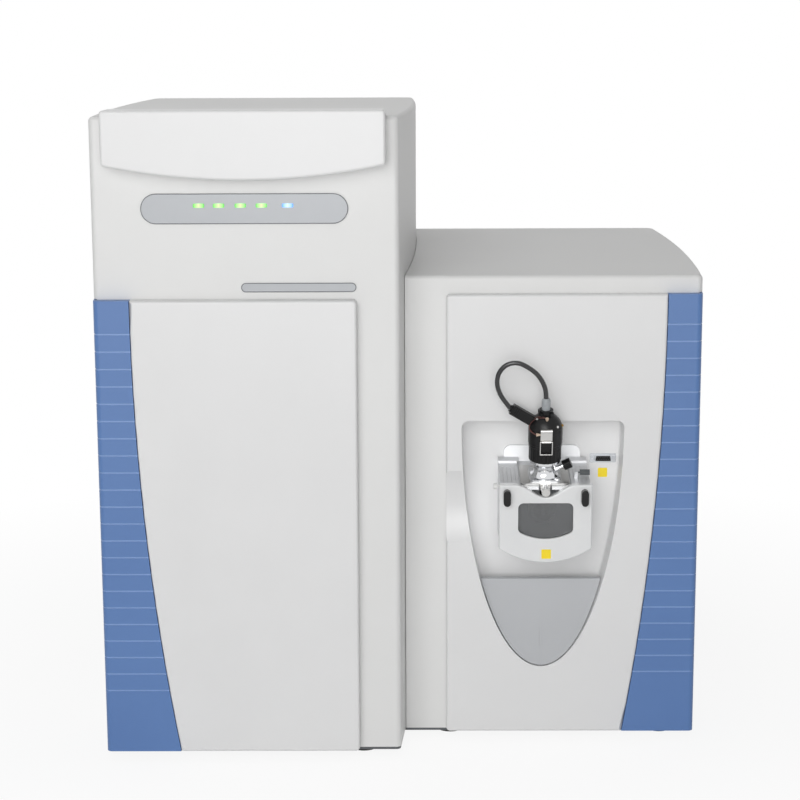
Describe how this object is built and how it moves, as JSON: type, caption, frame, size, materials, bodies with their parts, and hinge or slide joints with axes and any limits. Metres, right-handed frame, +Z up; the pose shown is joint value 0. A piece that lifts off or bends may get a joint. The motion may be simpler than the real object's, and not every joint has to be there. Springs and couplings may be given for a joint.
{
  "type": "mass spectrometer",
  "caption": "Bench mass spectrometer: a tall tower with a swinging front door beside a lower cabinet with a removable ion source in a recess.",
  "frame": {"origin": "on the bench under the middle of the instrument", "axes": "+Z up, the front with the ion source faces -Y, +X to the right of someone facing the front"},
  "size_m": [0.9101, 0.82, 0.9494],
  "materials": {
    "chassis": "powder coat",
    "foot_rubber": "matt",
    "cover_white": "fine texture",
    "lamp_panel": "satin",
    "lamp_green": "lens",
    "lamp_blue": "lens",
    "panel_white": "satin",
    "corner_blue": "satin",
    "steel_zinc": "zinc plated",
    "liner_grey": "satin",
    "tray_grey": "satin",
    "source_cast": "fine blasted",
    "black_plastic": "satin",
    "cover_ceramic": "gloss",
    "window_glass": "tinted",
    "seal_rubber": "satin",
    "port_steel": "brushed",
    "port_chrome": "polished",
    "knob_steel": "turned",
    "wheel_dark": "satin",
    "knob_white": "satin",
    "sleeve_clear": "clouded",
    "cable_black": "gloss",
    "ceramic_cream": "fired",
    "milled_aluminium": "milled",
    "board_green": "solder mask",
    "brass_fitting": "turned"
  },
  "bodies": {
    "cabinet": {"chassis_frame": "chassis", "feet": "foot_rubber", "tower_cover": "cover_white", "right_cover": "cover_white", "header_cover": "panel_white", "status_panel": "lamp_panel", "status_lamps_green": "lamp_green", "status_lamp_blue": "lamp_blue", "name_strip": "lamp_panel", "door_top_pivot": "steel_zinc", "right_panel": "panel_white", "right_corner_panel": "corner_blue", "recess_liner": "liner_grey", "recess_tray": "tray_grey", "source_mount": "source_cast", "data_socket": "steel_zinc", "data_socket_insert": "black_plastic", "ion_inlet": "knob_steel", "transfer_tube": "knob_steel", "vacuum_housing": "milled_aluminium", "analyser_chamber": "knob_steel", "turbo_pumps": "milled_aluminium", "board_rack": "steel_zinc", "circuit_boards": "board_green", "power_supply": "steel_zinc", "fan_frames": "black_plastic", "tower_rear_panel": "cover_white", "right_rear_panel": "cover_white", "power_entry": "black_plastic", "vacuum_ports": "milled_aluminium", "gas_fittings": "brass_fitting", "panel_screws": "steel_zinc"},
    "door": {"left_door": "panel_white", "left_corner_panel": "corner_blue"},
    "source": {"source_housing": "source_cast", "source_cover": "cover_ceramic", "window_glass": "window_glass", "window_seal": "seal_rubber", "wheel_stand": "source_cast"},
    "lever_left": {"source_lever_left": "black_plastic"},
    "lever_right": {"source_lever_right": "black_plastic"},
    "port": {"port_plate": "port_steel", "probe_port": "port_chrome"},
    "front_knob": {"front_knob": "knob_steel"},
    "lock_knob": {"lock_knob": "black_plastic"},
    "locking_ring": {"locking_ring": "black_plastic"},
    "probe": {"probe_head": "black_plastic", "probe_barrel": "knob_steel", "probe_collar": "black_plastic", "probe_fitting": "sleeve_clear", "probe_connector": "black_plastic", "probe_cable": "cable_black", "probe_clip": "port_steel", "heater_ferrules": "ceramic_cream"},
    "bail": {"probe_bail": "port_steel"},
    "thumb_wheel": {"thumb_wheel": "wheel_dark"},
    "side_knob": {"side_knob": "knob_white"},
    "fan_upper": {"fan_rotor_upper": "black_plastic"},
    "fan_lower": {"fan_rotor_lower": "black_plastic"},
    "switch": {"power_switch": "black_plastic"}
  },
  "joints": [
    {"name": "door_swing", "type": "hinge", "parent": "cabinet", "child": "door", "pos_m": [-0.43788, -0.2698, 0.35], "axis": [0, 0, -1], "range_deg": [0, 92]},
    {"name": "source_pull", "type": "slide", "parent": "cabinet", "child": "source", "axis": [0, -1, 0], "range_m": [0, 0.09]},
    {"name": "lever_left_turn", "type": "hinge", "parent": "source", "child": "lever_left", "pos_m": [0.1507, -0.368, 0.3976], "axis": [0, 1, 0], "range_deg": [0, 90]},
    {"name": "lever_right_turn", "type": "hinge", "parent": "source", "child": "lever_right", "pos_m": [0.2633, -0.368, 0.3976], "axis": [0, -1, 0], "range_deg": [0, 90]},
    {"name": "port_slide", "type": "slide", "parent": "source", "child": "port", "axis": [0, 0.9744, 0.225], "range_m": [-0.004, 0.004]},
    {"name": "front_knob_turn", "type": "hinge", "parent": "port", "child": "front_knob", "pos_m": [0.207, -0.35665, 0.39953], "axis": [0, -0.9744, -0.225], "range_deg": [-720.5, 720.5]},
    {"name": "probe_lift", "type": "slide", "parent": "port", "child": "probe", "axis": [0, -0.225, 0.9744], "range_m": [0, 0.11]},
    {"name": "locking_ring_turn", "type": "hinge", "parent": "port", "child": "locking_ring", "pos_m": [0.207, -0.33094, 0.45175], "axis": [0, -0.225, 0.9744], "range_deg": [0, 60]},
    {"name": "bail_swing", "type": "hinge", "parent": "probe", "child": "bail", "pos_m": [0.207, -0.36254, 0.47217], "axis": [-1, 0, 0], "range_deg": [0, 140]},
    {"name": "lock_knob_turn", "type": "hinge", "parent": "port", "child": "lock_knob", "pos_m": [0.23419, -0.32582, 0.42958], "axis": [0.9063, -0.0951, 0.4118], "range_deg": [-360, 360]},
    {"name": "thumb_wheel_turn", "type": "hinge", "parent": "source", "child": "thumb_wheel", "pos_m": [0.266, -0.32459, 0.41935], "axis": [1, 0, 0], "range_deg": [-360, 360]},
    {"name": "side_knob_turn", "type": "hinge", "parent": "source", "child": "side_knob", "pos_m": [0.135, -0.3298, 0.4], "axis": [-1, 0, 0], "range_deg": [-360, 360]},
    {"name": "fan_upper_spin", "type": "hinge", "parent": "cabinet", "child": "fan_upper", "pos_m": [-0.215, 0.385, 0.76], "axis": [0, 1, 0], "continuous": true},
    {"name": "fan_lower_spin", "type": "hinge", "parent": "cabinet", "child": "fan_lower", "pos_m": [-0.215, 0.385, 0.56], "axis": [0, 1, 0], "continuous": true},
    {"name": "switch_rock", "type": "hinge", "parent": "cabinet", "child": "switch", "pos_m": [0.11, 0.4034, 0.134], "axis": [1, 0, 0], "range_deg": [0, 20]}
  ],
  "couplings": [
    {"joint": "front_knob_turn", "follows": "port_slide", "rad_per_m": -3141.6}
  ]
}
